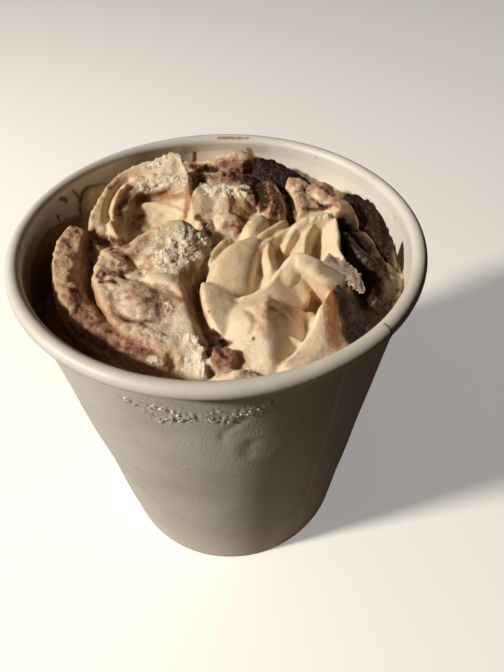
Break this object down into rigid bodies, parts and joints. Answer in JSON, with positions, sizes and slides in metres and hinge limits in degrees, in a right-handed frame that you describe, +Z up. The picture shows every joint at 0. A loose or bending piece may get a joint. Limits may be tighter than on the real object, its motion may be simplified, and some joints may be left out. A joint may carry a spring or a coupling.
{
  "type": "gelato cup",
  "caption": "Tapered paper cup with a rolled rim, filled with folded vanilla gelato and dark chocolate ripple.",
  "frame": {"origin": "centre of the cup's base, on the surface it stands on", "axes": "+Z up along the cup's axis, -Y towards the side from which the cup is seen, +X to that viewer's right"},
  "size_m": [0.0958, 0.0958, 0.106],
  "materials": {
    "cup_paper": "uncoated outside, matt",
    "vanilla_gelato": "soft, moist",
    "dark_chocolate": "moist, slightly glossy"
  },
  "bodies": {
    "root": {"cup_wall": "cup_paper", "cup_bottom": "cup_paper", "gelato": "vanilla_gelato", "chocolate_slab": "dark_chocolate", "chocolate_lump": "dark_chocolate", "chocolate_splinter": "dark_chocolate"}
  },
  "joints": []
}
